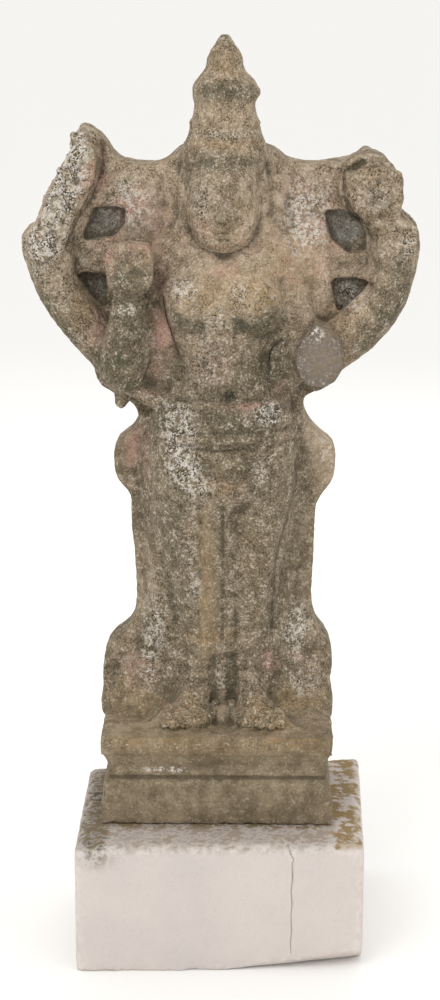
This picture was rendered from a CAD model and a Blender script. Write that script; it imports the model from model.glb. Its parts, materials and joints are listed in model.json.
# %% [markdown]
# # A weathered granite goddess on a pale block
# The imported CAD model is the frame: a solid for the carved stone and one for the block under it. This
# lesson dresses them. The stone gets its face, crown, jewels, folds, breaks and granite, and the block
# its cracks, chips and grime. Every step says what the piece is, how it could be made, and why this way.

# %% Load the frame
import json
import math

import bpy
import numpy as np
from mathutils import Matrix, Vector, noise

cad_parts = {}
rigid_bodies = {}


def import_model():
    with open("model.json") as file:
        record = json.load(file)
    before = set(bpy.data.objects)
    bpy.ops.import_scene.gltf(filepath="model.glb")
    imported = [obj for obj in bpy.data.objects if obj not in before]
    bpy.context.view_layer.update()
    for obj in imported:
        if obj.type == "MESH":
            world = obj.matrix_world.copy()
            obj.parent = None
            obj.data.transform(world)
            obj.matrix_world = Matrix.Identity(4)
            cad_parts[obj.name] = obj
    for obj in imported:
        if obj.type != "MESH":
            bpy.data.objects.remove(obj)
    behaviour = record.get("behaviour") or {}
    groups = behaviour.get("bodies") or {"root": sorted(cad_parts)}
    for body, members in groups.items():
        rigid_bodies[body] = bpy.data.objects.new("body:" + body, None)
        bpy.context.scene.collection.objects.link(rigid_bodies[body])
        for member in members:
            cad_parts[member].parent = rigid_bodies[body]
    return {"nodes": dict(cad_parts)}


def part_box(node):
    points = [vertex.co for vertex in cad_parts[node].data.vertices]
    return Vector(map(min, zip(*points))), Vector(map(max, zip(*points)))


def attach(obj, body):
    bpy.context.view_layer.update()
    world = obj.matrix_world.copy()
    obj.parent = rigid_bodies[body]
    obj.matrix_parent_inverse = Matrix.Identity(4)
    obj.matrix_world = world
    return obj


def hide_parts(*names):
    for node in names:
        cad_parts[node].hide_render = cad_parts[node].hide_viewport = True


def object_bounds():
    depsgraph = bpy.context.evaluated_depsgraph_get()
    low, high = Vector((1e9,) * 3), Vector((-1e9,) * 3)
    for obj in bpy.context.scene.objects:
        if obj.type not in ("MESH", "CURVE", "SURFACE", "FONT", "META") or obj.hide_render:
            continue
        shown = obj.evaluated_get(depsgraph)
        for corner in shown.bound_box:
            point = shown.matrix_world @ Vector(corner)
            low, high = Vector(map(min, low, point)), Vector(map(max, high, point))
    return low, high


for leftover in list(bpy.data.objects):
    bpy.data.objects.remove(leftover)
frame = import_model()
cad_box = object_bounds()

# %% [markdown]
# ## The carver's grid
# A sculptor of such a figure divides its height into equal parts and places everything on that grid.
# We do the same: one part is a hundredth of the figure's height. `x` is across, `y` is in front of the
# slab's face when negative, and `z` counts up from the soles, so the crown's tip is at 100. The figure
# stands a little to the right of the slab's middle, on the line `x = MIDDLE`.

# %% The carver's grid
PART = 0.00975
MIDDLE = 0.7
SLAB_DEPTH = 0.084
PLINTH_HEIGHT = 0.132
statue_low, statue_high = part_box("statue")
SLAB_FACE = statue_high.y - SLAB_DEPTH
SOLES = statue_low.z + PLINTH_HEIGHT


def at(x, y, z):
    """The place in metres of a point given in grid parts."""
    return Vector((x * PART, SLAB_FACE + y * PART, SOLES + z * PART))


print("soles at", round(SOLES, 4), "slab face at", round(SLAB_FACE, 4), "crown at", round(at(0, 0, 100).z, 4))

# %% [markdown]
# ## Camera, light and floor
# The photographer stood in front, a little above the middle, and tilted the camera down a few degrees.
# A big soft light from the upper left front and a pale room give the same gentle shading, and a wide
# pale floor carries the block. The floor is only a stage, so it is not part of the object.

# %% Camera, light and floor
FOCAL_LENGTH = 82.87
CAMERA_PLACE = (0.05, -3.1855, 1.4372)
SENSOR_WIDTH = 36
FLOOR_SIZE = 400
TILT = math.radians(76)
YAW = math.atan2(0.05, 3.16)
bpy.ops.object.camera_add(location=CAMERA_PLACE, rotation=(TILT, 0, YAW))
camera = bpy.context.object
camera.data.lens = FOCAL_LENGTH
camera.data.sensor_width = SENSOR_WIDTH
camera.data.shift_x = 0.002
bpy.context.scene.camera = camera

bpy.ops.mesh.primitive_plane_add(size=FLOOR_SIZE, location=(0, 0, 0))
floor = bpy.context.object
floor.name = "floor"


def soft_light(name, place, aim, size, power):
    """A large square lamp at a place, turned to face the aim."""
    bpy.ops.object.light_add(type="AREA", location=place)
    lamp = bpy.context.object
    lamp.name = name
    lamp.rotation_euler = (Vector(aim) - Vector(place)).to_track_quat("-Z", "Y").to_euler()
    lamp.data.size = size
    lamp.data.energy = power


soft_light("key", (-1.5, -2.6, 3.4), (0, 0, 0.75), 1.8, 42)
soft_light("fill", (2.4, -2.4, 1.9), (0, 0, 0.7), 2.2, 9)
soft_light("back", (0.6, 3, 2.6), (0, 0, 0.7), 2, 20)
room = bpy.data.worlds.new("pale room")
room.use_nodes = True
room.node_tree.nodes["Background"].inputs["Color"].default_value = (1, 0.99, 0.975, 1)
room.node_tree.nodes["Background"].inputs["Strength"].default_value = 0.96
bpy.context.scene.world = room
bpy.context.scene.view_settings.view_transform = "Standard"
print("camera at", tuple(round(v, 3) for v in camera.location))

# %% [markdown]
# ## Tools for modelling in clay
# A worn stone figure has no crisp edges, so it is built as a sculptor builds in clay: balls, rolls,
# turned forms and flat-sided blocks are pressed together, and a voxel remesh makes one skin of them.
# Balls are stretched spheres. Rolls are curves with a thickness, turned into a mesh. Beads are one
# small ball, copied. Subdivision surfaces would be smoother, but each form would need its own cage.

# %% Tools for modelling in clay
clay = []


def alone(obj):
    """Selects only this object."""
    bpy.ops.object.select_all(action="DESELECT")
    obj.select_set(True)
    bpy.context.view_layer.objects.active = obj


def whole_mesh(obj, operator, **settings):
    """Runs one edit mode operator on all of a mesh."""
    alone(obj)
    bpy.ops.object.mode_set(mode="EDIT")
    bpy.ops.mesh.select_all(action="SELECT")
    operator(**settings)
    bpy.ops.object.mode_set(mode="OBJECT")


def joined(objects):
    """Joins these objects into the first."""
    alone(objects[0])
    for obj in objects:
        obj.select_set(True)
    bpy.ops.object.join()
    return bpy.context.object


def ball(centre, radii, turn=(0, 0, 0)):
    """An ellipsoid in grid parts, turned by degrees about X, Y and Z."""
    bpy.ops.mesh.primitive_uv_sphere_add(segments=28, ring_count=18, radius=PART, location=at(*centre),
                                         rotation=[math.radians(d) for d in turn])
    bpy.context.object.scale = radii
    clay.append(bpy.context.object)


def pair(centre, radii):
    """The same ball on both sides of the middle line; centre's x is the distance from it."""
    offset, y, z = centre
    for side in (-1, 1):
        ball((MIDDLE + side * offset, y, z), radii)


def roll(stations):
    """A round strand through stations (x, y, z, radius) in grid parts, with blunt round ends."""
    bpy.ops.curve.primitive_bezier_curve_add(location=(0, 0, 0))
    strand = bpy.context.object
    strand.data.dimensions = "3D"
    strand.data.bevel_depth = 1.0
    strand.data.bevel_resolution = 3
    strand.data.resolution_u = 6
    strand.data.use_fill_caps = True
    rows = [(at(x, y, z), radius * PART) for x, y, z, radius in stations]
    for end, inner in ((0, 1), (-1, -2)):
        place, radius = rows[end]
        outward = (place - rows[inner][0]).normalized()
        tip = (place + outward * radius * 0.75, radius * 0.35)
        rows.insert(0, tip) if end == 0 else rows.append(tip)
    spline = strand.data.splines[0]
    spline.bezier_points.add(len(rows) - 2)
    for knot, (place, radius) in zip(spline.bezier_points, rows):
        knot.co = place
        knot.radius = radius
        knot.handle_left_type = knot.handle_right_type = "AUTO"
    bpy.ops.object.convert(target="MESH")
    clay.append(bpy.context.object)


def beads(places, radii):
    """One small ball, copied to each place in grid parts."""
    bpy.ops.mesh.primitive_ico_sphere_add(subdivisions=2, radius=PART, location=at(*places[0]))
    first = bpy.context.object
    first.scale = radii
    clay.append(first)
    for place in places[1:]:
        copy = first.copy()
        copy.data = first.data.copy()
        copy.location = at(*place)
        bpy.context.collection.objects.link(copy)
        clay.append(copy)


def arc(centre, half_width, half_depth, start, end, count):
    """Points on a level arc in front of an upright middle; 0 degrees is to the right, 90 to the front."""
    x, y, z = centre
    turns = [math.radians(start + (end - start) * i / (count - 1)) for i in range(count)]
    return [(x + half_width * math.cos(t), y - half_depth * math.sin(t), z) for t in turns]


def stacked(shape, profile, middle):
    """Extrudes a level face up through a profile of (height, scale), as a turner or mason would cut it."""
    alone(shape)
    bpy.ops.object.mode_set(mode="EDIT")
    bpy.ops.mesh.select_all(action="SELECT")
    for (height, scale), (upper, upper_scale) in zip(profile, profile[1:]):
        bpy.ops.mesh.extrude_region_move(TRANSFORM_OT_translate={"value": (0, 0, upper - height)})
        ratio = [a / b for a, b in zip(upper_scale, scale)]
        bpy.ops.transform.resize(value=(*ratio, 1), center_override=(middle.x, middle.y, upper))
    bpy.ops.object.mode_set(mode="OBJECT")
    whole_mesh(shape, bpy.ops.mesh.normals_make_consistent, inside=False)


def turned(axis, profile):
    """A form turned on an upright axis, from levels and radii in grid parts."""
    base = at(*axis, profile[0][0])
    bpy.ops.mesh.primitive_circle_add(vertices=56, radius=profile[0][1] * PART, fill_type="NGON",
                                      location=base)
    shape = bpy.context.object
    stacked(shape, [(at(0, 0, level).z, (radius, radius)) for level, radius in profile], base)
    clay.append(shape)


def prism(outline, front, back):
    """A flat-sided block with this outline of (x, z) corners, between two depths, all in grid parts."""
    bpy.ops.mesh.primitive_circle_add(vertices=len(outline), fill_type="NGON", location=(0, 0, 0))
    shape = bpy.context.object
    for corner, (x, z) in zip(shape.data.vertices, outline):
        corner.co = at(x, back, z)
    whole_mesh(shape, bpy.ops.mesh.extrude_region_move,
               TRANSFORM_OT_translate={"value": (0, (front - back) * PART, 0)})
    whole_mesh(shape, bpy.ops.mesh.normals_make_consistent, inside=False)
    return shape


def modify(obj, kind, **settings):
    """Adds a modifier and applies it at once."""
    alone(obj)
    modifier = obj.modifiers.new(kind.title(), kind)
    for key, value in settings.items():
        setattr(modifier, key, value)
    bpy.ops.object.modifier_apply(modifier=modifier.name)


def press_together(name, voxel, smoothing):
    """Joins all the clay into one skin, and empties the board for the next piece."""
    piece = joined(clay)
    clay.clear()
    piece.name = piece.data.name = name
    bpy.ops.object.transform_apply(location=True, rotation=True, scale=True)
    modify(piece, "REMESH", mode="VOXEL", voxel_size=voxel)
    modify(piece, "SMOOTH", factor=0.5, iterations=smoothing)
    print(name, "has", len(piece.data.polygons), "faces")
    return piece


def tell():
    print(len(clay), "lumps of clay so far")


# %% [markdown]
# ## Tools for carving and wear
# What a chisel and the weather did is done on the finished skin, by moving its points: a press pushes
# a soft hollow in, a groove follows a line, rain melts relief away, and wear shifts every point a
# little by smooth noise. This could be a Displace modifier, but points moved in code can be limited
# to a place or a depth. Only what has steep walls, such as a crack, is cut out by a Boolean.

# %% Tools for carving and wear
DENT = 0.0008


def unit(values):
    """The values, limited to between 0 and 1."""
    return np.clip(values, 0, 1)


def points_of(obj):
    """Its points in metres, and their outward directions."""
    count = len(obj.data.vertices)
    co, normal = np.empty(count * 3), np.empty(count * 3)
    obj.data.vertices.foreach_get("co", co)
    obj.data.vertex_normals.foreach_get("vector", normal)
    return co.reshape(-1, 3), normal.reshape(-1, 3)


def put_points(obj, co):
    obj.data.vertices.foreach_set("co", np.ascontiguousarray(co, float).ravel())
    obj.data.update()


def grid_of(co):
    """The points in grid parts."""
    return (co - np.array([0, SLAB_FACE, SOLES])) / PART


def smooth_noise(co, size, seed):
    """Noise from -1 to 1, with lumps about this many metres across."""
    shifted = co / size + np.array([seed * 7.3, seed * 3.1, seed * 5.7])
    return np.array([noise.noise(p) for p in shifted.tolist()])


def soft_spots(grid, spots):
    """A sum of soft round spots seen from the front: (x, z, half width, half height, strength)."""
    total = np.zeros(len(grid))
    for x, z, half_x, half_z, strength in spots:
        away = ((grid[:, 0] - x) / half_x) ** 2 + ((grid[:, 2] - z) / half_z) ** 2
        total += strength * np.exp(-1.2 * away**1.5)
    return total


def line_distance(grid, line):
    """How far each point is, seen from the front, from a line of (x, z) corners in grid parts."""
    flat = grid[:, [0, 2]]
    nearest = np.full(len(grid), 1e9)
    for a, b in zip(line, line[1:]):
        a, b = np.array(a, float), np.array(b, float)
        along = unit((flat - a) @ (b - a) / ((b - a) @ (b - a)))
        nearest = np.minimum(nearest, np.linalg.norm(flat - a - along[:, None] * (b - a), axis=1))
    return nearest


def carve_lines(obj, lines):
    """Cuts grooves into what faces the viewer: each is (line, width, depth), a negative depth a ridge."""
    co, normal = points_of(obj)
    grid = grid_of(co)
    facing = unit(-normal[:, 1] * 2)
    for line, width, depth in lines:
        cut = np.exp(-((line_distance(grid, line) / width) ** 2)) * facing
        co[:, 1] += cut * depth * PART
    put_points(obj, co)


def press_in(obj, hollows):
    """Pushes soft hollows along Y: each is a centre in grid parts, its radii and its depth."""
    co, normal = points_of(obj)
    grid = grid_of(co)
    for centre, radii, depth in hollows:
        away = (((grid - np.array(centre)) / np.array(radii)) ** 2).sum(1)
        co[:, 1] += np.exp(-2.0 * away) * depth * PART
    put_points(obj, co)


def wear(obj, layers, seed, more=None):
    """Moves the surface in and out along its normals: each layer is a size and a depth in metres."""
    co, normal = points_of(obj)
    shift = np.zeros(len(co))
    for i, (size, depth) in enumerate(layers):
        field = smooth_noise(co, size, seed + i)
        shift += field * depth * (1 if more is None else more(grid_of(co)))
    put_points(obj, co + normal * shift[:, None])


def blurred(obj, rounds, share=1):
    """Its points after some rounds of moving each towards the mean of its neighbours, by a share."""
    co, _ = points_of(obj)
    ends = np.empty(len(obj.data.edges) * 2, np.int64)
    obj.data.edges.foreach_get("vertices", ends)
    a, b = ends.reshape(-1, 2).T
    degree = np.bincount(ends, minlength=len(co)).clip(1)
    for _ in range(rounds):
        for axis in range(3):
            line = co[:, axis]
            mean = (np.bincount(a, line[b], len(co)) + np.bincount(b, line[a], len(co))) / degree
            co[:, axis] = line + (mean - line) * share
    return co


def hollowness(obj, rounds):
    """How far each point lies in a hollow (positive) or on a ridge (negative), in metres."""
    co, normal = points_of(obj)
    return ((blurred(obj, rounds) - co) * normal).sum(1)


def melt(obj, zones, rounds):
    """Softens the relief inside soft round zones, as rain does."""
    grid = grid_of(points_of(obj)[0])
    put_points(obj, blurred(obj, rounds, unit(soft_spots(grid, zones)) * 0.9))


def cut_out(obj, blades):
    """Takes closed blades out of a mesh, and puts them away."""
    blade = joined(blades)
    modify(obj, "BOOLEAN", operation="DIFFERENCE", object=blade, solver="EXACT")
    bpy.data.objects.remove(blade)


def split_open(obj, lines, half_width, depth):
    """Cuts a thin crack along each line of (x, z) corners, this deep into what faces the viewer."""
    co, normal = points_of(obj)
    grid = grid_of(co)
    blades = []
    for line in lines:
        near = grid[(line_distance(grid, line) < 0.5) & (normal[:, 1] < -0.2)]
        widths = [half_width * (0.35 if i in (0, len(line) - 1) else 1) for i in range(len(line))]
        outline = [(x - w, z - w * 0.3) for (x, z), w in zip(line, widths)]
        outline += [(x + w, z + w * 0.3) for (x, z), w in reversed(list(zip(line, widths)))]
        blades.append(prism(outline, near[:, 1].min() - 0.5, np.median(near[:, 1]) + depth))
    cut_out(obj, blades)


def keep_inside(obj, low, high):
    """Brings points back that wear has pushed out of the CAD box."""
    co, _ = points_of(obj)
    put_points(obj, np.clip(co, np.array(low), np.array(high)))


def paint(obj, name, values):
    layer = obj.data.attributes.new(name, "FLOAT", "POINT")
    layer.data.foreach_set("value", np.ascontiguousarray(values, np.float32))


# %% [markdown]
# ## The head and crown
# The face is a calm one on the proportions that every carving manual gives: eyes half way between
# crown band and chin, nose and mouth evenly below. Over it stand a band of curls and a tall turned
# crown with a row of studs, a bulging ring and a bud. It is a piece of its own, so that its voxels can
# be finer than the body's, and it runs back into the slab, so no gap shows.

# %% The head and crown
ball((0.7, -4, 78), (5, 5, 6.2))
ball((0.7, -4.4, 75.2), (5.1, 4.7, 5.4))
ball((0.7, -5, 73.2), (4.5, 3.9, 3.9))
ball((0.7, -6, 79.8), (4.2, 2.8, 2.2))
pair((2.3, -7, 74.2), (2.2, 1.7, 2.2))
ball((0.7, -8, 70.9), (1.6, 1.1, 1.1))
pair((2.1, -7.9, 76.9), (1.35, 0.85, 0.85))
roll(((0.7, -8.4, 78.4, 0.5), (0.7, -9.3, 76.2, 0.5), (0.7, -9.8, 74.9, 0.75)))
pair((0.75, -9.2, 74.6), (0.55, 0.7, 0.5))
for side in (-1, 1):
    middle = MIDDLE + side * 2.1
    roll(((middle - 1.4, -8, 76.8, 0.16), (middle, -8.75, 77.55, 0.24),
          (middle + 1.4, -8, 76.8, 0.16)))
    roll(((middle - 1.3, -8, 76.6, 0.13), (middle, -8.5, 76.15, 0.18),
          (middle + 1.3, -8, 76.6, 0.13)))
    roll(((0.7 + side * 0.8, -8.6, 78, 0.2), (0.7 + side * 2.3, -8.4, 78.8, 0.26),
          (0.7 + side * 3.8, -7.2, 77.9, 0.16)))
roll(((-0.7, -8.6, 73, 0.14), (0.2, -9.15, 73.25, 0.28), (0.7, -9.2, 73.1, 0.26),
      (1.2, -9.15, 73.25, 0.28), (2.1, -8.6, 73, 0.14)))
roll(((-0.4, -8.7, 72.75, 0.14), (0.7, -9.15, 72.35, 0.36), (1.8, -8.7, 72.75, 0.14)))
pair((4.9, -2.6, 76), (0.6, 1.6, 2.6))

CROWN_AXIS = (0.9, -1.8)
turned(CROWN_AXIS, (
    (78, 4.4), (80.6, 5.1), (81.2, 5.6), (82.6, 5.9), (83.6, 5.8), (83.9, 5.5), (84.3, 5.9), (84.8, 5.85),
    (85.1, 5.35), (87.2, 4.9), (87.5, 5.05), (87.9, 4.95), (88.1, 4.65), (89.9, 4.25), (90.3, 4.3),
    (90.7, 4.45), (91.3, 4.6), (92.3, 4.6), (93, 4.4), (93.6, 3.95), (94.4, 3.25), (95, 2.8), (95.6, 2.6),
    (96.6, 2.5), (97.6, 2), (98.6, 1.3), (99.4, 0.85), (99.8, 0.55)))
ball((1.5, -1.8, 91.8), (4.5, 4.4, 1.8))
beads(arc((0.9, -1.8, 82.3), 5.3, 5.4, 0, 180, 15), (0.75, 0.7, 0.8))
beads(arc((0.9, -1.8, 86.3), 4.8, 4.9, 20, 160, 9), (0.6, 0.4, 0.55))
beads(arc((0.9, -1.8, 81.1), 5.2, 5.6, 20, 160, 13), (0.45, 0.5, 0.4))
roll(((0.7, -7.3, 81.2, 0.6), (0.8, -7.3, 83.4, 0.8), (0.9, -6.9, 85.4, 0.4)))
head = press_together("crowned_head", voxel=0.0017, smoothing=4)

# %% [markdown]
# ## The raised hand
# The open palm that gives courage is worn to a block, with four finger ridges half sunk in it and a
# bracelet at the wrist. The block is a prism and the fingers are rolls, and the piece gets fine voxels,
# so that the ridges survive the remesh.

# %% The raised hand
roll(((-13.7, -4.6, 54.6, 2.6), (-13.3, -6, 58.4, 2.3), (-12.8, -6.9, 61.8, 2)))
ball((-12.5, -7.4, 62.9), (2.6, 2, 0.85))
PALM_OUTLINE = ((-16, 69.4), (-15.2, 70.8), (-12.4, 71.3), (-9.8, 71), (-9.1, 69.4), (-9.2, 65.6),
                (-10.4, 63.8), (-14.2, 63.6), (-15.6, 65.8))
clay.append(prism(PALM_OUTLINE, -9.2, -5.8))
for i, top in enumerate((70.2, 71, 71.1, 70.4)):
    x = -15.0 + 1.7 * i
    roll(((x, -8.5, 65.6, 0.75), (x, -8.8, 68.4, 0.85), (x, -8.7, top - 0.7, 0.8)))
roll(((-13.9, -8.6, 64.6, 0.8), (-12.2, -9, 64.4, 1), (-10.4, -8.6, 64.8, 0.8)))
hand = press_together("raised_hand", voxel=0.0018, smoothing=4)

# %% [markdown]
# ## The bare feet
# The feet turn out a little and keep their toes. One foot is a function of its heel and toes, so the
# other can't differ by mistake: a roll comes down over the instep, and each toe is a short roll.

# %% The bare feet


def foot(heel, toes):
    """A bare foot from heel to toes, both (x, y) in grid parts."""
    heel, toes = Vector((*heel, 0)), Vector((*toes, 0))
    along = (toes - heel).normalized()
    length = (toes - heel).length
    across = Vector((-along.y, along.x, 0))
    turn = (0, 0, math.degrees(math.atan2(along.y, along.x)) + 90)
    instep, ball_of_foot = heel + along * length * 0.42, heel + along * length * 0.66
    roll(((heel.x, heel.y, 5.4, 2.3), (instep.x, instep.y, 2.9, 2.3),
          (ball_of_foot.x, ball_of_foot.y, 1.3, 1.9)))
    ball((ball_of_foot.x, ball_of_foot.y, 0.9), (3.5, length * 0.24, 1.9), turn)
    inner = 1 if across.x * heel.x > 0 else -1
    for i in range(5):
        tip = toes - across * (inner * (i - 2) * 1.5) - along * (0.36 * (i - 0.6) ** 2)
        root = tip - along * 3.4
        radius = 0.98 - 0.06 * i
        roll(((root.x, root.y, 2.2, radius), (tip.x, tip.y, 0.9, radius)))


foot((-2.7, -2.6), (-5, -12.5))
foot((4.4, -2.6), (6.4, -12.5))
feet = press_together("bare_feet", voxel=0.0015, smoothing=2)

# %% [markdown]
# ## The broken forearm
# The lower left arm ends in a clean break that faces the viewer. It is a prism with the outline of the
# break, which keeps its face flat, and its sides run back into the arm.

# %% The broken forearm
STUMP_FRONT = -8.9
STUMP_OUTLINE = (
    (13.9, 59.8), (13.1, 58.6), (11.9, 57.4), (11.2, 55.8), (11.1, 53.9), (11.8, 52), (13.3, 50.8),
    (15.1, 50.6), (16.7, 51.6), (17.7, 53.3), (17.9, 55.3), (17.3, 57.2), (16.1, 58.6), (14.9, 59.1))
clay.append(prism(STUMP_OUTLINE, STUMP_FRONT, -1))
stump = press_together("broken_forearm", voxel=0.0018, smoothing=2)

# %% [markdown]
# ## The body and the slab
# The CAD solid already has every big form, but in facets. A copy of it is merged and remeshed into a
# soft base, together with the stone that the carver left uncut between the limbs, which is then melted
# until no lump shows. The four sunk recesses are cut afterwards, so their edges stay sharp.

# %% A soft base from the CAD solid
MERGE = 0.00001
BELOW_SOLES = 0.020
RECESS_DEPTH = 2.05
RECESS_OUTLINES = (
    ((-19.6, 70.5), (-19, 72.4), (-18.2, 75.3), (-13.4, 75.1), (-13.6, 72.8), (-15.2, 71)),
    ((-20.8, 65.9), (-16.2, 65.5), (-16.4, 60.4), (-18.6, 62.4)),
    ((15.1, 75), (18.9, 74.9), (20.4, 73.8), (21.2, 71.6), (21.3, 69.1), (18.6, 68.8), (16.2, 70.8)),
    ((16.1, 65.1), (22.4, 65), (21.6, 62.6), (20, 60.6), (18.2, 58.8), (17, 60.8)))


def cad_copy(node, name):
    """A merged copy of a CAD solid, with a mesh of its own."""
    copy = bpy.data.objects.new(name, frame["nodes"][node].data.copy())
    bpy.context.collection.objects.link(copy)
    whole_mesh(copy, bpy.ops.mesh.remove_doubles, threshold=MERGE)
    copy.data.materials.clear()
    return copy


clay.append(cad_copy("statue", "carved_stele"))
# Stone left uncut: about the neck, between trunk and arms, beside the legs, and the ground round the feet
ball((0.7, -4, 69), (4.6, 3.6, 3.2))
pair((6, -1.2, 68.6), (4.8, 3.4, 4.2))
ball((0.4, -5.8, 63.4), (4.4, 4.2, 4.8))
ball((0.4, -4.4, 58), (6.6, 3.8, 6.8))
ball((-6.6, -2.4, 61), (3.6, 3.4, 6.6))
ball((8, -2.2, 61), (3.8, 3.4, 6.8))
ball((-8, -1.2, 56), (4, 3.2, 8.6))
ball((9, -1.2, 56), (4.2, 3.2, 8.6))
ball((12.4, 0.4, 65.6), (4.8, 2.6, 8.8))
roll(((-8.4, -0.6, 40, 3.2), (-7.8, -0.6, 26, 3.2), (-7.4, -0.6, 12, 3.4)))
roll(((9.6, 0.2, 38, 2.6), (8.6, 0.2, 24, 2.6), (7.8, 0, 12, 3)))
ball((-9.6, 1.2, 0), (6.8, 5.6, 11))
ball((10.6, 1.2, 0), (6.8, 5.6, 10))
ball((0.7, -2.2, 6), (5, 2.4, 8.6))
ball((-5.4, -1.4, 8), (3.4, 3, 7))
ball((7.4, -1.4, 8), (3.4, 3, 7))
roll(((-10.4, -0.6, -6.4, 8.9), (0, -0.6, -6.4, 8.9), (10.8, -0.6, -6.4, 8.9)))
ball((0.6, -4.6, 0.4), (3, 4.2, 2))
base = press_together("soft_base", voxel=0.0034, smoothing=4)
whole_mesh(base, bpy.ops.mesh.bisect, plane_co=(0, 0, SOLES - BELOW_SOLES), plane_no=(0, 0, 1),
           clear_inner=True, use_fill=True)
melt(base, ((0.7, 69, 13, 4.4, 1), (-8.4, 58, 3.6, 9, 1), (9, 58, 3.6, 9, 1),
            (0.6, 58, 7, 6, 0.8), (-8.6, 8, 4.8, 9, 1), (10, 8, 4.8, 9, 1),
            (-9.6, 30, 2.4, 14, 0.8), (11.4, 30, 2, 14, 0.5), (0.7, 43, 9, 6, 0.8)), rounds=45)
cut_out(base, [prism(outline, -7, RECESS_DEPTH) for outline in RECESS_OUTLINES])
clay.append(base)
print("soft base has", len(base.data.polygons), "faces")

# %% [markdown]
# ## Masses of the body and the arms
# What catches the eye is laid over the soft base again in full roundness: breasts, belly, hips, legs
# and arms. Balls and rolls give this at once, where a sculpt would need brushes.

# %% Masses of the body
ball((0.8, -3.6, 65.6), (8.6, 4.7, 4.4))
for x in (-4, 5.1):
    ball((x, -4.9, 62.4), (4.6, 4.7, 4.8))
ball((0.1, -6.6, 58.6), (3, 2.6, 4.3))
ball((0.6, -3.8, 50.8), (5.8, 4.5, 5.4))
ball((0.7, -3.4, 45.8), (9.7, 6.3, 3.9))
roll(((-4.8, -2.6, 40, 5.3), (-4.6, -3, 34, 5.2), (-4, -3.2, 27.7, 4.7), (-3.3, -3.2, 21, 3.9),
      (-2.9, -2.9, 15.5, 3.5), (-2.7, -2.6, 12.2, 3.2)))
roll(((6.2, -2.6, 40, 5.3), (6, -3, 34, 5.2), (5.4, -3.2, 27.7, 4.8), (4.9, -3.2, 21, 4.3),
      (4.5, -2.9, 15.5, 3.8), (4.4, -2.6, 12.2, 3.3)))
for x in (-2.7, 4.2):
    roll(((x, -2.6, 12, 2.6), (x, -3, 7.6, 2.3), (x * 1.05, -3.6, 3.2, 2.4)))
tell()

# %% Masses of the arms
roll(((-8, -1, 66, 3.2), (-10.8, -2.2, 59.6, 3.1), (-13.4, -3, 52.8, 3.4)))
roll(((9.2, -0.6, 66, 3), (10.9, -0.9, 60, 3), (12.2, -1.8, 54, 3.4)))
roll(((-13.8, -3.4, 52.4, 3.5), (-13.3, -5.4, 56.6, 2.8), (-13, -6.4, 59.6, 2.3)))
roll(((-14.4, 0, 53, 3.3), (-19.2, -0.8, 57.9, 3.1), (-23, -0.9, 64, 3), (-24.3, -0.9, 70, 2.9)))
roll(((14.6, 0, 53.8, 3.5), (20.2, -0.8, 58.5, 3.3), (24.8, -0.9, 64.6, 2.8), (25.2, -0.9, 70.8, 2.9)))
roll(((-12.6, -2.6, 50.2, 1.5), (-9.4, -4.2, 48, 1.4), (-5.6, -5.6, 47.2, 1.1)))
roll(((-13.6, -1.6, 50.2, 1.3), (-13.8, -1.8, 47.6, 1.15)))
tell()

# %% [markdown]
# ## Dress and jewels
# The girdle is three rolls round the hips with a row of beads, a sash hangs in a loop over the thighs,
# and pleats fall between the legs to the ground. Necklace, pendant and armlet are thin rolls.

# %% Girdle, sashes and pleats
roll([(*place, 0.6) for place in arc((0.7, -3, 47.8), 8.6, 5.9, 12, 168, 9)])
roll([(*place, 1.5) for place in arc((0.7, -2.8, 45.4), 9, 5.6, 10, 170, 9)])
roll([(*place, 0.8) for place in arc((0.7, -2.6, 43), 9.9, 6.5, 12, 168, 9)])
beads(arc((0.7, -3.2, 46.6), 9.4, 6.3, 18, 162, 19), (0.62, 0.4, 0.62))
roll(((-9.2, -4, 42.4, 1.1), (-5.4, -6.6, 38.8, 1.2), (-2, -7.2, 35.8, 1.4), (0.9, -7.3, 35.1, 1.6),
      (3.8, -7.2, 35.8, 1.4), (7.4, -6.6, 38.8, 1.2), (10.6, -4, 42.6, 1.1)))
ball((0.8, -5.6, 39.6), (4.6, 2.6, 4.4))
roll(((-1.5, -7, 33, 1.35), (-1.5, -6.7, 22, 1.35), (-1.4, -5.8, 11.2, 1.35)))
roll(((-0.2, -6.6, 33, 1.2), (-0.2, -6.3, 22, 1.2), (-0.1, -5.5, 11.2, 1.2)))
roll(((1.6, -6.3, 33, 1), (1.5, -6.1, 22, 1), (1.4, -5.2, 11, 1)))
roll(((0.5, -4.8, 11, 1.1), (0.4, -4.4, 6, 0.9), (0.4, -4.6, 2.4, 0.8)))
ball((0.8, -2.9, 5), (3, 1.9, 5.5))
for x, radius in ((-2.7, 3.3), (4.4, 3.4)):
    ball((x, -2.8, 12), (radius + 0.1, radius + 0.4, 1.3))
    ball((x * 0.98, -3, 8.2), (2.6, 2.8, 0.9))
for stations in (((-7.6, -0.4, 20, 0.7), (-9.6, -0.6, 12, 1), (-12, -0.6, 4.4, 1.1)),
                 ((-7, -2, 12, 0.6), (-8.8, -3, 5, 0.9)),
                 ((8.6, -0.2, 19, 0.7), (10.6, -0.6, 10, 1), (13.2, -0.6, 4.4, 1.1))):
    roll(stations)
tell()

# %% Necklaces, pendant and armlet
roll([(x, y, z, 0.45) for x, y, z in ((-4.6, -4.4, 70), (-2.4, -6.4, 67.8), (0.7, -7.3, 66.9),
                                       (3.8, -6.4, 67.8), (6, -4.4, 70))])
ball((0.7, -7.8, 65.9), (0.9, 0.8, 0.9))
roll(((-9.9, -4.6, 63.8, 0.6), (-8, -5.2, 63.2, 0.6), (-6.9, -4.2, 63.6, 0.5)))
tell()

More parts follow.
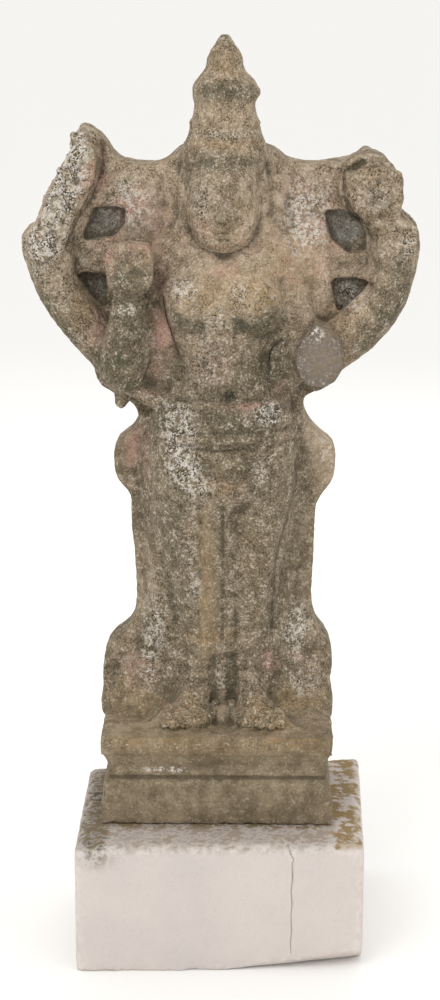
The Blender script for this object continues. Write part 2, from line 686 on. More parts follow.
# %% [markdown]
# ## Broken emblems and rear hands
# What the two rear hands held is broken to rough chunks. Each is a prism with small lumps strewn over
# it by a fixed random draw, so it is rough and yet the same each time. Then all the clay, soft base and
# masses, is pressed into a single skin, and rain softens it where the real stone is smooth.

# %% Broken emblems and rear hands
draw = np.random.default_rng(7)


def broken_lumps(line, spread, count, sizes):
    """Rough lumps strewn along a line of (x, y, z) points in grid parts."""
    line = np.array(line, float)
    for _ in range(count):
        leg = draw.integers(len(line) - 1)
        share = draw.random()
        place = line[leg] * (1 - share) + line[leg + 1] * share + draw.uniform(-1, 1, 3) * spread
        radii = draw.uniform(*sizes, 3)
        ball(tuple(place), tuple(radii), tuple(draw.uniform(-60, 60, 3)))


LEFT_EMBLEM = (
    (-19.5, 86.8), (-18.2, 85), (-17.2, 82.6), (-17.8, 79.4), (-19.2, 76), (-21, 72.6), (-22.4, 69.4),
    (-24.6, 68.6), (-27, 69.4), (-27.2, 71.6), (-25.2, 73.6), (-24.8, 76.6), (-23, 79.6), (-21.2, 83.2),
    (-20, 84.6))
RIGHT_EMBLEM = ((18.3, 80.2), (20.6, 81.6), (24.2, 81.4), (26, 80.6), (26.3, 77.6), (26, 74.6),
                (22.4, 73), (19.4, 75.2), (18.4, 77))
RIGHT_HAND = ((23.2, 73.4), (26.6, 74.2), (28.2, 73), (28.2, 69.6), (27.2, 66.4), (24.2, 65.6), (22.6, 69.6))
for outline, front in ((LEFT_EMBLEM, -3.5), (RIGHT_EMBLEM, -3.9), (RIGHT_HAND, -4)):
    clay.append(prism(outline, front, 0.4))
broken_lumps(((-19.2, -0.9, 85), (-20.6, -2.4, 80.8), (-22.2, -2.6, 76.6), (-24, -2.8, 72.4)),
             (1, 0.5, 0.8), 30, (0.7, 1.5))
broken_lumps(((-26.4, -2.4, 70.8), (-24.6, -3, 70), (-24.6, -2.6, 67.4)), (0.9, 0.8, 0.9), 14, (0.9, 1.6))
broken_lumps(((19.6, -3.4, 79.8), (23.8, -3.6, 79), (23.8, -3.6, 75.4), (20.4, -3.4, 76.6)),
             (0.9, 0.5, 0.9), 16, (0.7, 1.3))
broken_lumps(((26.4, -2.4, 72), (26, -3, 69.4), (25.4, -3, 66.6), (25, -2.8, 63.6)), (0.9, 0.7, 0.9), 16,
             (0.8, 1.4))
stele = press_together("carved_stele", voxel=0.003, smoothing=1)
melt(stele, ((0.6, 56.6, 8, 3, 0.5), (0.6, 64, 9, 5, 0.1), (0.7, 43, 10, 4, 0.6),
             (0.7, 36, 9, 4, 0.5), (-8.4, 56, 3, 8, 0.9), (9, 58, 3, 8, 0.9),
             (0.7, 69.4, 12, 3, 0.9), (-9, 28, 2.6, 18, 0.8), (-8.4, 8, 4.4, 7, 0.9),
             (9.8, 8, 4.4, 7, 0.9)), rounds=12)

# %% [markdown]
# ## Hollows, folds and seams
# Now the chisel. Eye corners, mouth, navel and the spaces between fingers are pressed or grooved in.
# Curved folds run round the legs, and seams part the head from the slab, the emblems from their ground,
# the right leg from the cloth beside it and the trunk from the arms.

# %% Hollows, folds and seams
press_in(head, (((-1.4, -8.8, 79.6), (1.8, 1.2, 0.8), 0.15), ((2.8, -8.8, 79.6), (1.8, 1.2, 0.8), 0.15),
                ((-0.1, -8.8, 76.9), (0.5, 1.5, 0.8), 0.5), ((1.5, -8.8, 76.9), (0.5, 1.5, 0.8), 0.5),
                ((0.7, -8.9, 71.7), (1.4, 1.2, 0.4), 0.3)))
carve_lines(head, ((((-0.7, 72.85), (0.7, 72.8), (2.1, 72.85)), 0.16, 0.35),
                   (((-2.7, 76.75), (-1.4, 76.7), (-0.1, 76.75)), 0.14, 0.16),
                   (((1.5, 76.75), (2.8, 76.7), (4.1, 76.75)), 0.14, 0.16)))
carve_lines(hand, [(((-14.15 + 1.7 * i, 69.6), (-14.15 + 1.7 * i, 66.6)), 0.42, 0.4) for i in range(1, 3)]
            + [(((-15.2, 63.8), (-12.4, 63.5), (-9.8, 63.9)), 0.35, 0.7),
               (((-14.6, 61.7), (-12.4, 61.4), (-10.4, 61.8)), 0.5, 0.7)])
FOLDS = [((x - 3.6, z + 1.5), (x - 1.4, z + 0.3), (x + 1, z), (x + 3.4, z + 1.2))
         for x, z in ((5.4, 28), (5.1, 22), (4.9, 18.4), (4.6, 14.6))]
FOLDS += [((x - 3.2, z + 1.2), (x - 1, z), (x + 1.2, z + 0.3), (x + 3, z + 1.5))
          for x, z in ((-5.4, 29), (-4.8, 22), (-4.4, 16))]
LEG_SEAM = ((11.2, 38.6), (11.3, 35), (9.9, 30), (8.6, 25.4), (8.2, 22), (7.9, 13.4))
ARMPIT_CRACK = ((-7.8, 63.5), (-7.4, 60.6), (-6.6, 57.6), (-5.6, 54.4))
ELBOW_CRACK = ((-9.8, 53.6), (-10.7, 51.3))
RIGHT_CRACK = ((9, 56.8), (8, 56), (7.4, 54.8), (7.3, 52.6))
FALL_SEAM = ((0.7, 33), (0.7, 22), (0.6, 12.6))
GIRDLE_SEAM = ((-3, 41.4), (-1, 41.2), (1, 41.2), (3.6, 41.6))
HEAD_EDGE = ((-5, 81), (-5.1, 76), (-4.4, 73.2), (-2.6, 70.6), (0.7, 69.2), (3.9, 70.6), (5.5, 73.2),
             (6.1, 76), (6.1, 81))
EMBLEM_EDGE_LEFT = ((-16.6, 84.6), (-16.8, 80.6), (-18.4, 77), (-20.4, 73.8), (-21.6, 70.4))
EMBLEM_EDGE_RIGHT = ((20.4, 82), (18, 80.6), (17.9, 77.6), (18.8, 75.2), (21.2, 73))
CRACKS = (ARMPIT_CRACK, ELBOW_CRACK, RIGHT_CRACK, GIRDLE_SEAM)
PENDANT_EDGE = ((-2.4, 58.4), (-1.9, 56.2), (-0.9, 55.1), (0.2, 54.8), (1.3, 55.2), (2.2, 56.4), (2.5, 58.4))
carve_lines(stele, [(fold, 0.4, 0.12) for fold in FOLDS]
            + [(EMBLEM_EDGE_LEFT, 0.5, 0.8), (EMBLEM_EDGE_RIGHT, 0.5, 1), (HEAD_EDGE, 0.8, 1),
               (LEG_SEAM, 0.5, 0.45), (FALL_SEAM, 0.4, 0.35), (GIRDLE_SEAM, 0.35, 0.15),
               (PENDANT_EDGE, 0.35, 0.18), (ARMPIT_CRACK, 0.6, 0.4), (RIGHT_CRACK, 0.5, 0.4)])
press_in(stele, (((1.7, -8.4, 49.1), (0.9, 2, 0.8), 0.9),
                 ((7.4, -8.6, 46.6), (2, 3, 1.8), 0.9),
                 ((0.4, -9, 63.6), (0.8, 2.5, 3), 0.35)))
print("carved", len(FOLDS), "folds")

# %% [markdown]
# ## Weather
# Centuries outdoors left the stone uneven: slow swells, grain-sized pits, and real roughness on the
# breaks. The body is then thinned to stay under two hundred thousand triangles, and thin jagged blades
# cut its four cracks, last of all, so that nothing rounds them off.

# %% Weather
ROUGH_SPOTS = ((-19.6, 84.6, 2.2, 2.8, 1), (-21.4, 80, 2.8, 3.4, 1), (-23.2, 75.6, 2.8, 3.4, 1),
               (-25.2, 70.4, 3.6, 3.6, 1), (22.4, 78.6, 4.4, 4.6, 0.8), (26.2, 70, 2.6, 5, 0.9),
               (7.4, 46.6, 2.2, 2, 0.8), (-5.8, 44, 4, 4, 0.4))
LIMIT = 190000


def roughness_here(grid):
    return 1 + 2.4 * unit(soft_spots(grid, ROUGH_SPOTS))


def sideways_only(grid):
    return (grid[:, 1] > STUMP_FRONT + 0.3).astype(float)


wear(stele, ((0.028, 0.0011), (0.012, 0.0009), (0.006, 0.0007)), 1, roughness_here)
wear(head, ((0.02, 0.0006), (0.008, 0.0006), (0.004, 0.0005)), 11)
wear(hand, ((0.014, 0.0008), (0.006, 0.0006), (0.004, 0.0004)), 21)
wear(feet, ((0.014, 0.0005), (0.005, 0.0005)), 31)
wear(stump, ((0.014, 0.0008), (0.006, 0.0006)), 61, sideways_only)
modify(stele, "DECIMATE", ratio=LIMIT / (2 * len(stele.data.polygons)))
split_open(stele, CRACKS, half_width=0.07, depth=1)
for piece in (stele, head, hand, feet, stump):
    keep_inside(piece, cad_box[0], cad_box[1])
print("stele has", len(stele.data.polygons), "faces")

# %% [markdown]
# ## The moulded plinth
# A mason's plinth: foot, slope, neck, hollow moulding and a flat fascia. It is one level grid extruded
# up through the profile in small steps, so its lines run dead level all round, as a remesh's wouldn't,
# and yet there are points enough to chip its edges.

# %% The moulded plinth
PLINTH_MIDDLE = Vector((-0.001, statue_high.y - 0.114, statue_low.z))
HALF_WIDTH, HALF_DEPTH = 0.1655, 0.114
PLINTH_STEP = 0.0025
PLINTH_PROFILE = (
    (0, 0), (0.033, 0), (0.035, 0.0015), (0.06, 0.0035), (0.0655, 0.006), (0.066, 0.0125), (0.07, 0.0125),
    (0.0705, 0.0088), (0.0795, 0.0088), (0.08, 0.0112), (0.086, 0.0105), (0.095, 0.0068), (0.1035, 0.0034),
    (0.1042, 0), (0.132, 0))


def inset_scale(inset):
    return (1 - inset / HALF_WIDTH, 1 - inset / HALF_DEPTH)


bpy.ops.mesh.primitive_grid_add(x_subdivisions=130, y_subdivisions=90, size=1, location=PLINTH_MIDDLE)
plinth = bpy.context.object
plinth.scale = (2 * HALF_WIDTH, 2 * HALF_DEPTH, 1)
bpy.ops.object.transform_apply(location=True, rotation=True, scale=True)
levels = []
for (low, inset), (high, upper_inset) in zip(PLINTH_PROFILE, PLINTH_PROFILE[1:]):
    steps = math.ceil((high - low) / PLINTH_STEP)
    shares = [i / steps for i in range(steps)]
    levels += [(low + (high - low) * share, inset + (upper_inset - inset) * share) for share in shares]
levels.append(PLINTH_PROFILE[-1])
stacked(plinth, [(statue_low.z + level, inset_scale(inset)) for level, inset in levels], PLINTH_MIDDLE)
plinth.name = plinth.data.name = "moulded_plinth"


def chip_edges(obj, size, depth, seed):
    """Knocks the sharp edges back by noise: only ridges move, and only inwards."""
    co, normal = points_of(obj)
    ridge = unit(-hollowness(obj, 6) / DENT)
    bite = unit(smooth_noise(co, size, seed) + 0.15) + 0.25
    put_points(obj, co - normal * (ridge * bite * depth)[:, None])


chip_edges(plinth, 0.018, 0.0035, 41)
chip_edges(plinth, 0.007, 0.0015, 42)
wear(plinth, ((0.03, 0.0005), (0.008, 0.0003)), 43)
keep_inside(plinth, statue_low, cad_box[1])
print("plinth has", len(plinth.data.polygons), "faces")

# %% [markdown]
# ## The pale block
# A sawn block of pale stone, out of square, its lower right edge broken away. Its copy from the CAD is
# remeshed fine enough to take worn edges and chips. The crack that runs down its front is a real cut:
# a thin jagged blade taken out by a Boolean.

# %% The pale block
block = cad_copy("stone_block", "pale_block")
block_low, block_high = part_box("stone_block")
modify(block, "REMESH", mode="VOXEL", voxel_size=0.0032)
modify(block, "SMOOTH", factor=0.5, iterations=1)
chip_edges(block, 0.024, 0.0026, 51)
chip_edges(block, 0.008, 0.0016, 52)
wear(block, ((0.05, 0.0005), (0.01, 0.0003)), 53)
keep_inside(block, block_low, block_high)

CRACK = ((10.2, -13.4), (10.7, -14.8), (11.1, -15.6), (10.9, -16.4), (11, -18.5), (10.8, -20.3),
         (10.95, -22.6), (10.8, -24.1), (10.9, -26.7), (10.75, -28.5), (10.85, -30.2))
split_open(block, (CRACK,), half_width=0.022, depth=1.4)
print("block has", len(block.data.polygons), "faces")

# %% [markdown]
# ## Where the colours lie
# The granite is one grey-brown stone, but iron stains it ochre and pink, algae darken it green, and
# fresh breaks are white. Each tint is painted as soft spots on the carver's grid into an attribute of
# the mesh. The finish breaks the spots up with noise later, so their shapes never show.

# %% Where the colours lie
MOSS = (
    (1.2, 92.2, 5, 1.7, 1), (0.9, 82.4, 6.4, 1.3, 0.9), (1, 99.2, 1.4, 1.3, 0.8), (0.2, 75.4, 1.3, 3.2, 0.4),
    (-12.2, 67.2, 3.8, 4.6, 1), (-12.9, 58, 2.8, 5.6, 0.9), (-14.2, 53.2, 3.4, 3, 0.8),
    (-26.6, 66, 1.7, 3.2, 0.8), (-25.2, 61.6, 2, 3, 0.9), (-22.2, 57, 2.3, 2.6, 0.9),
    (-18.4, 52.8, 2.6, 2.4, 0.8), (26.6, 65.6, 2.4, 4, 0.9), (24.6, 61, 2.8, 3, 1),
    (21.6, 56.8, 3.2, 2.4, 0.9), (-6.4, 61, 1.8, 1.8, 0.7), (-4.2, 59.7, 2.2, 1.6, 0.75),
    (-2, 59.8, 1.3, 1.2, 0.5), (3.2, 59.6, 1.4, 1.4, 0.6), (5.6, 59.3, 2.4, 1.9, 0.9),
    (7.9, 60.9, 1.8, 2.2, 0.8), (6.6, 55, 2.8, 4.2, 0.45), (9, 53.6, 2.8, 3.6, 0.45),
    (-0.5, 45.8, 6, 2.4, 0.8), (5, 44.6, 4, 2.6, 0.6), (-6.4, 33, 3.2, 9, 0.7), (6.6, 33, 3.4, 9, 0.55),
    (-5.4, 20, 3, 8, 0.6), (5.2, 20, 3, 8, 0.4), (1.7, 49.1, 1.2, 1, 1.2), (0.4, 51.4, 4.6, 3.6, 0.5),
    (-12, 50.2, 3.2, 1.8, 0.9), (0.1, 56.2, 2.4, 1.6, 0.6), (1.2, 22, 0.8, 11, 0.5), (-9.4, 4.6, 2.4, 3, 0.6),
    (1.8, 4.6, 1.2, 6, 0.8), (9.6, 10.6, 1.8, 3, 0.4), (19, 67.5, 1.6, 5, 0.5), (22.6, 68, 1.2, 5, 0.6))
PALE = (
    (-19.6, 84.4, 1.9, 2.6, 1.4), (-21.2, 80.2, 2.6, 3.2, 1.4), (-23, 76, 2.6, 3.2, 1.4),
    (16, 41, 3, 6, 0.45), (19.1, 62.6, 2, 2.2, 0.7), (-24.8, 70.8, 3.4, 3, 1.2), (-26.4, 67.6, 2.2, 3, 0.6),
    (-6.2, 45.6, 3.6, 3.4, 0.8), (-5.4, 40, 3, 4.4, 0.9), (-3.2, 36.4, 2.6, 2.6, 0.7),
    (-2.6, 77.6, 2, 3.2, 0.45), (6.2, 38.4, 1.8, 3, 0.45), (-4.9, 65, 2.6, 1.6, 0.8),
    (3, 64.4, 1.4, 2.2, 0.6), (0.3, 60.8, 1.5, 2, 0.5), (-1.6, 56, 2, 6, 0.4), (-9.6, 13.4, 2.2, 5.4, 0.7),
    (-10.6, 7, 1, 4, 0.7), (-7.6, -5.4, 3.6, 0.6, 1), (13, 4.6, 3, 3, 0.5), (11.6, 12.6, 2.4, 4.2, 0.8),
    (22, 77.6, 3, 3, 0.45), (27.2, 70, 2, 3.4, 0.55), (13.9, 58.4, 1.2, 1.2, 0.9), (7.3, 46.6, 2, 1.8, 1.5),
    (12.6, 74, 4.6, 6.4, 0.8), (-12.6, 76, 4, 5, 0.7), (17, 64, 3, 6, 0.4), (-12.6, 62, 2.4, 0.9, 0.7),
    (0.4, 6.6, 1, 4.4, 0.6), (0.9, 86.4, 5, 1, 0.5), (-3.4, 21, 1.6, 4, 0.5), (-4, 26.6, 2.2, 3, 0.3),
    (-10.2, 57.4, 1.4, 3, 0.3), (-20, 57, 1.6, 2.6, 0.3))
OCHRE = (
    (11, 68, 6.4, 5.2, 0.75), (1.2, 64.6, 5.2, 3.8, 0.8), (6.4, 64, 3.2, 3, 0.8), (-3.4, 63.6, 3.2, 2.6, 0.5),
    (-19.4, 61.2, 1.9, 3.8, 0.8), (17.6, 60, 3.2, 3.4, 0.9), (-1.7, 21, 1.7, 11, 0.8), (0.9, 84.7, 6, 0.8, 1),
    (1.1, 94.8, 3.2, 1.2, 0.7), (-9.6, 81.8, 4.4, 0.8, 0.8), (14.2, 82.4, 5.4, 0.9, 0.9),
    (-0.8, 12.8, 4.6, 1.2, 0.8), (-17.6, 84.6, 1.6, 2, 0.8), (0.4, 72.2, 3.4, 2.2, 0.6),
    (3.6, 76.4, 2.2, 3.2, 0.4), (-10.4, 69.8, 2, 2, 0.6), (0.6, 36.2, 2.6, 1.2, 0.8), (-4.8, 2, 4, 3, 0.9),
    (6.6, 2, 4, 3, 0.9), (-12.4, 1.6, 5, 3, 0.9), (0, -1.4, 19, 1.8, 0.45), (1.1, 97, 2.4, 2.4, 0.6),
    (1, 88, 5, 3, 0.5), (12.4, 1.6, 5, 3, 0.8), (5.6, 25.6, 2.4, 6.4, 0.35), (16.6, 53.2, 3, 1.4, 0.9),
    (22, 80, 2.8, 2, 0.5))
PINK = (
    (-17.2, 79, 2.2, 3.8, 1), (-13, 74.4, 3.2, 2.6, 0.7), (-9.2, 71, 4.4, 2.2, 0.7), (-16, 68.6, 2.2, 2.8, 1),
    (-8.3, 66, 1.3, 2.4, 1), (-8, 58.4, 1.9, 4.8, 1.1), (-9.8, 50.8, 2.6, 2.4, 0.9),
    (-17.2, 58.4, 2, 3.2, 0.8), (1.2, 67.2, 3.2, 1.2, 0.7), (-2.4, 73.2, 1.8, 1.6, 0.5),
    (-0.2, 54.2, 3.2, 3, 0.4), (-11.8, 39.6, 2.4, 3.8, 0.8), (9.6, 66, 2, 2.4, 0.6),
    (7.2, 8.2, 0.9, 3.2, 0.9), (4.8, 47.9, 4.6, 0.5, 1.2), (13.6, 74, 6, 6.4, 0.6), (-12, 6.4, 3, 3.4, 0.5),
    (10.6, 6.8, 3.4, 2, 0.5), (16, 66, 6, 8, 0.3), (-11, 74, 6, 6, 0.4), (9.6, 49.6, 1.8, 2.2, 0.5),
    (3.8, 70.4, 5, 1.6, 0.4))
RECESSES = ((-17.2, 73, 3, 2.2, 1.5), (-18, 63.9, 2.2, 1.9, 1.3), (18.3, 72.4, 3, 2.6, 1.5),
            (19.1, 63.2, 2.4, 2.4, 0.8))
LIGHT = (
    (-11, 74, 7, 8, 0.9), (11, 73, 7, 8, 0.9), (15.6, 41, 4, 6, 0.4), (17, 64, 5, 8, 0.3),
    (0, 20, 17, 18, 0.08), (-16, 78, 5, 6, 0.2), (0, 1.6, 18, 1.6, 0.2), (0.7, 76.5, 5.6, 6, -0.1),
    (0.8, 64.6, 9, 4.4, 0.2), (15, 74, 7, 8, 0.25), (15, 64, 5, 6, 0.3), (-4.4, 59.8, 3, 2, -0.4),
    (5.8, 59.6, 3.4, 2.4, -0.55), (0, -7, 20, 7, -0.45), (-1.7, 21, 1.8, 12, -0.4), (0.9, 92, 5, 1.6, -0.5),
    (-12.4, 66, 4, 8, -0.7), (-13.4, 55, 4, 6, -0.9), (-8, 58, 2.2, 6, -0.9), (26, 62, 5, 6, -0.5),
    (-24, 60, 4, 7, -0.5), (9.4, 54.6, 3.4, 4.4, -0.2), (16, 12, 6, 10, 0.2), (16, 40, 4, 6, 0.9),
    (-22, 78, 4, 8, 0.6), (0, 83, 6, 2, -0.3))
CALM = (
    (-11, 74, 6, 7, 0.45), (11, 73, 6, 8, 0.45), (-1.7, 21, 1.8, 12, 0.6), (-14.5, 40, 3, 6, 0.55),
    (16, 40, 3.4, 6, 0.8), (0, 1, 20, 3.6, 0.6), (13, 22, 3.4, 14, 0.35), (-12.6, 22, 2.6, 12, 0.3),
    (16, 66, 6, 7, 0.35), (14.7, 54.6, 3.6, 4.6, 0.8), (0.4, 66, 6, 4, 0.35), (-8, 58, 2.2, 6, 0.4))
STUMP_X, STUMP_Z, RIM_SCALE = 14.6, 54.6, 1.05
STUMP_RIM = [(STUMP_X + (x - STUMP_X) * RIM_SCALE, STUMP_Z + (z - STUMP_Z) * RIM_SCALE)
             for x, z in (*STUMP_OUTLINE, STUMP_OUTLINE[0])]
SEAMS = (LEG_SEAM, ARMPIT_CRACK, ELBOW_CRACK, RIGHT_CRACK, GIRDLE_SEAM, STUMP_RIM)


def paint_stone(obj, fine=8, coarse=50, grit_level=None):
    """Paints tints, hollows and grit on one piece of the granite; no grit level means by place."""
    co, normal = points_of(obj)
    grid = grid_of(co)
    front = unit(0.35 - normal[:, 1])
    for name, spots in (("moss", MOSS), ("pale", PALE), ("ochre", OCHRE), ("pink", PINK)):
        paint(obj, name, soft_spots(grid, spots) * front)
    sunk = unit(grid[:, 1] / 0.9) * unit(soft_spots(grid, RECESSES)) * (normal[:, 1] < 0.6)
    seam = sum(np.exp(-((line_distance(grid, line) / 0.22) ** 2)) for line in SEAMS) * (normal[:, 1] < 0.2)
    paint(obj, "sunk", sunk)
    paint(obj, "seam", seam)
    paint(obj, "light", unit((grid[:, 2] - 50) / 12) * 0.6 + 0.15 + soft_spots(grid, LIGHT))
    by_place = np.clip(1 - soft_spots(grid, CALM), 0.2, 1)
    paint(obj, "grit", by_place if grit_level is None else np.full(len(grid), grit_level))
    paint(obj, "bare", (grid[:, 1] < STUMP_FRONT + 0.25) * (1.0 if obj == stump else 0))
    paint(obj, "hollow", hollowness(obj, fine) / DENT)
    paint(obj, "dell", hollowness(obj, coarse) / (DENT * 3))


paint_stone(stele, fine=5, coarse=40)
paint_stone(head, coarse=60)
paint_stone(hand)
paint_stone(feet, grit_level=1.1)
paint_stone(stump)
paint_stone(plinth, fine=6, coarse=40, grit_level=0.25)
GRANITE_PIECES = (stele, head, hand, feet, stump, plinth)
print("tints painted on", len(GRANITE_PIECES), "pieces")

# %% [markdown]
# ## Writing materials as arithmetic
# Node trees are easier to read as formulas. `Amount` wraps a socket that carries a number, and its
# operators add Math nodes, so `1 - moss * 0.5` builds that part of the tree. Colours are mixed by Mix
# nodes, because a Math node would turn them grey. Everything else comes from one `node` method.

# %% Writing materials as arithmetic


class Amount:
    """A number that changes over the surface."""

    def __init__(self, finish, socket):
        self.finish, self.socket = finish, socket

    def math(self, operation, other, flip=False):
        values = [self.socket, getattr(other, "socket", other)]
        if flip:
            values.reverse()
        made = self.finish.node("ShaderNodeMath", {"operation": operation}, dict(enumerate(values)))
        return Amount(self.finish, made.outputs[0])

    def __add__(self, other):
        return self.math("ADD", other)

    def __mul__(self, other):
        return self.math("MULTIPLY", other)

    def __sub__(self, other):
        return self.math("SUBTRACT", other)

    def __rsub__(self, other):
        return self.math("SUBTRACT", other, flip=True)

    __radd__, __rmul__ = __add__, __mul__

    def between(self, low, high):
        """0 below low, 1 above high, and a smooth rise between."""
        made = self.finish.node("ShaderNodeMapRange", {"interpolation_type": "SMOOTHSTEP", "clamp": True},
                                {0: self.socket, 1: low, 2: high})
        return Amount(self.finish, made.outputs[0])


class Finish:
    """A material whose nodes are added by name."""

    def __init__(self, name, roughness):
        self.material = bpy.data.materials.new(name)
        self.material.use_nodes = True
        self.tree = self.material.node_tree
        self.shader = self.tree.nodes["Principled BSDF"]
        self.shader.inputs["Roughness"].default_value = roughness
        self.shader.inputs["Specular IOR Level"].default_value = 0.25
        self.places = self.node("ShaderNodeTexCoord").outputs["Object"]

    def node(self, kind, settings=None, inputs=None):
        made = self.tree.nodes.new(kind)
        for key, value in (settings or {}).items():
            setattr(made, key, value)
        for key, value in (inputs or {}).items():
            value = getattr(value, "socket", value)
            if isinstance(value, bpy.types.NodeSocket):
                self.tree.links.new(value, made.inputs[key])
            else:
                made.inputs[key].default_value = value
        return made

    def noise(self, scale, detail=3, roughness=0.6):
        made = self.node("ShaderNodeTexNoise", None, {"Vector": self.places, "Scale": scale, "Detail": detail,
                                                      "Roughness": roughness})
        return Amount(self, made.outputs["Fac"])

    def painted(self, name):
        return Amount(self, self.node("ShaderNodeAttribute", {"attribute_name": name}).outputs["Fac"])

    def mix(self, amount, first, second):
        """The second colour over the first, by an amount."""
        made = self.node("ShaderNodeMix", {"data_type": "RGBA", "clamp_factor": True},
                         {0: amount, 6: first, 7: second})
        return made.outputs[2]

    def colour(self, ground, *coats):
        """Colours the shader with a ground and coats over it: each is an amount and a paint chart colour."""
        for amount, chart in coats:
            ground = self.mix(amount, ground, srgb(*chart))
        self.tree.links.new(ground, self.shader.inputs["Base Color"])

    def bumps(self, *layers):
        """Stacks bumps: each is a height amount, a strength and a depth in metres."""
        normal = None
        for height, strength, distance in layers:
            inputs = {"Height": height, "Strength": strength, "Distance": distance}
            if normal:
                inputs["Normal"] = normal
            normal = self.node("ShaderNodeBump", None, inputs).outputs["Normal"]
        self.tree.links.new(normal, self.shader.inputs["Normal"])


def srgb(*chart):
    """A colour as a paint chart gives it, 0 to 255, in the linear values that nodes want."""
    return (*[((c / 255 + 0.055) / 1.055) ** 2.4 if c > 10 else c / 255 / 12.92 for c in chart], 1)


# %% [markdown]
# ## Weathered granite
# Seen from a step away, granite is a scatter: grey-brown ground, pale and nearly black flecks of a few
# millimetres, and clouds of light and dark. Cells would look like polka dots, so noises at six sizes
# make it. Over that lie the tints. Moss sits in dells, pale breaks are bright, and dirt fills hollows
# and seams. Bumps at the sizes of the flecks break the light as a pitted surface does.

# %% Weathered granite
granite = Finish("weathered_granite", 0.92)
broad = granite.noise(9, 4)
patchy = granite.noise(38, 4)
mottle = granite.noise(70, 3, 0.65)
fleck = granite.noise(130, 3)
grain = granite.noise(290, 3, 0.8)
speck = granite.noise(400, 2, 0.7)
painted = {name: granite.painted(name) for name in ("light", "pink", "ochre", "moss", "dell", "sunk", "bare",
                                                    "pale", "grit", "hollow", "seam")}
grit, pale = painted["grit"], painted["pale"]

tone = (broad * 0.25 + patchy * 0.35 + mottle * 0.15 + grain * 0.25).between(0.38, 0.62)
shaded = granite.mix(tone, srgb(100, 88, 68), srgb(144, 129, 106))
bright = granite.mix(tone, srgb(138, 121, 98), srgb(194, 175, 150))
stone = granite.mix(painted["light"] + (broad - 0.5) * 0.6, shaded, bright)
moss = painted["moss"] * (patchy * 0.6 + fleck * 0.4).between(0.36, 0.56)
moss = (moss + painted["dell"].between(0.15, 1.2) * 0.35).between(0, 1.25)
sunk = painted["sunk"] * (patchy * 0.5 + grain * 0.5).between(0.2, 0.6)
breaks = (pale * (fleck * 0.55 + grain * 0.45).between(0.42, 0.58)).between(0.05, 0.85)
light_flecks = grain.between(0.5, 0.6) * (0.2 + mottle.between(0.44, 0.6) * 0.8) * grit
dark_flecks = (1 - speck.between(0.42, 0.52)) * (1.1 - mottle.between(0.42, 0.58) * 0.8) * grit
brown_flecks = (1 - fleck.between(0.36, 0.46)) * grain.between(0.35, 0.6) * grit
granite.colour(
    stone,
    (painted["pink"] * patchy.between(0.35, 0.62) * 0.85, (180, 139, 126)),
    (painted["ochre"] * fleck.between(0.28, 0.6) * 0.6, (160, 132, 92)),
    (moss, (88, 83, 64)),
    (sunk, (128, 128, 121)),
    (painted["bare"] * (0.6 + mottle.between(0.4, 0.6) * 0.4), (115, 105, 97)),
    (breaks * 0.95, (213, 206, 196)),
    (light_flecks * 0.85, (208, 197, 180)),
    (dark_flecks * (0.75 + pale * 0.5), (62, 56, 44)),
    (brown_flecks * 0.45, (82, 75, 58)),
    (painted["hollow"].between(0.3, 1.7) * 0.55, (70, 63, 51)),
    (painted["seam"] * 0.55, (46, 41, 33)))
granite.bumps((mottle, grit * 0.6, 0.005), (fleck, grit * 0.8, 0.0035), (grain, grit * 0.9, 0.002))
for piece in GRANITE_PIECES:
    piece.data.materials.append(granite.material)
print("granite has", len(granite.tree.nodes), "nodes")

# %% [markdown]
# ## Pale stone
# The block is fine-grained, off-white with a breath of pink, and dotted with tiny pores. Rain carried
# brown and green grime onto its top and over the upper edge, most where the plinth drips. The grime's
# edge follows noise, so it reads as stain and not as paint.

# %% Pale stone
pale_stone = Finish("pale_stone", 0.88)
cloud = pale_stone.noise(7, 4)
stain = pale_stone.noise(34, 5, 0.65)
streak = pale_stone.noise(90, 4, 0.7)
pore = pale_stone.noise(300, 2)
grit = pale_stone.noise(620, 2)
face = pale_stone.mix(cloud.between(0.3, 0.7), srgb(196, 187, 184), srgb(206, 196, 189))
patches = stain * 0.6 + streak * 0.4
grime, rust = pale_stone.painted("grime"), pale_stone.painted("rust")
pale_stone.colour(
    face,
    ((1 - pore.between(0.3, 0.4)) * 0.3, (176, 164, 156)),
    (grit.between(0.35, 0.65) * 0.2, (224, 217, 212)),
    (grime * patches.between(0.47, 0.54) * 0.85 + grime.between(0.8, 1.4) * 0.4, (116, 104, 84)),
    (grime * (1 - patches.between(0.42, 0.5)) * 0.75, (92, 84, 68)),
    (rust * (0.1 + patches.between(0.44, 0.52) * 0.9), (140, 118, 80)),
    (pale_stone.painted("ridge").between(0.4, 1.5) * 0.35, (226, 220, 213)),
    (pale_stone.painted("split") * 0.4, (120, 107, 97)))
pale_stone.bumps((pore, 0.3, 0.001), (grit, 0.25, 0.0005))

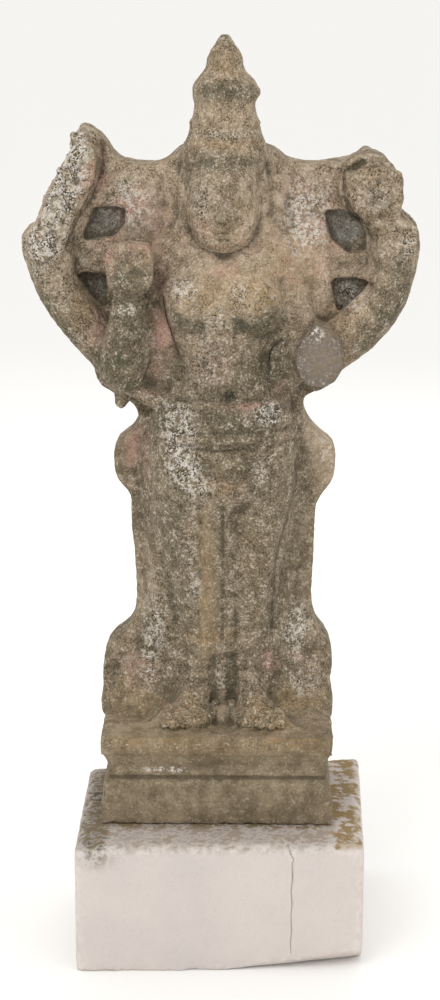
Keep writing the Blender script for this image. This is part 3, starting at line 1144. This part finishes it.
CRACK_WIDTH = 0.0008
FRONT_ONLY = -0.14
STRIP_START, STRIP_FADE = 0.15, 0.02
co, normal = points_of(block)
upward = unit((normal[:, 2] - 0.25) * 2)
below_top = block_high.z - co[:, 2]
left_strip = unit((-STRIP_START - co[:, 0]) / STRIP_FADE)
right_strip = unit((co[:, 0] - STRIP_START) / STRIP_FADE)
corner = np.exp(-((co[:, 0] + 0.17) / 0.022) ** 2 - ((below_top - 0.016) / 0.014) ** 2)
drip = np.exp(-((below_top - 0.003) / 0.007) ** 2) * (1 - right_strip) * (1 - upward)
grime = upward * (0.6 + 1.2 * left_strip) * (1 - right_strip * 0.8) + 0.9 * corner * (1 - upward) + 0.6 * drip
from_plinth = PLINTH_MIDDLE.y - HALF_DEPTH - co[:, 1]
grime += 0.5 * upward * np.exp(-((from_plinth / 0.016) ** 2)) * (np.abs(co[:, 0]) < 0.17)
paint(block, "grime", np.clip(grime, 0, 1.5))
paint(block, "rust", upward * (0.25 + 0.75 * right_strip) * (1 - left_strip))
paint(block, "ridge", -hollowness(block, 8) / DENT)
split = np.exp(-((line_distance(grid_of(co), CRACK) * PART / CRACK_WIDTH) ** 2)) * (co[:, 1] < FRONT_ONLY)
paint(block, "split", split)
block.data.materials.append(pale_stone.material)
print("pale stone has", len(pale_stone.tree.nodes), "nodes")

# %% [markdown]
# ## The floor
# A plain pale floor, so that only the stone is looked at.

# %% The floor
paper = Finish("pale_floor", 0.9)
paper.shader.inputs["Base Color"].default_value = srgb(250, 250, 248)
floor.data.materials.append(paper.material)

# %% [markdown]
# ## Handing over
# Each piece is shaded smooth, rides on the one body and names the solid that it stands for and the
# finish that it takes. The two boxes are written down, so that the sizes can be compared.

# %% Handing over
rows = [(piece, "statue", "weathered_granite") for piece in GRANITE_PIECES]
for piece, node, slot in (*rows, (block, "stone_block", "pale_stone")):
    alone(piece)
    bpy.ops.object.shade_smooth()
    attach(piece, "root")
    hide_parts(node)
    print(piece.name, len(piece.data.vertices), "points")
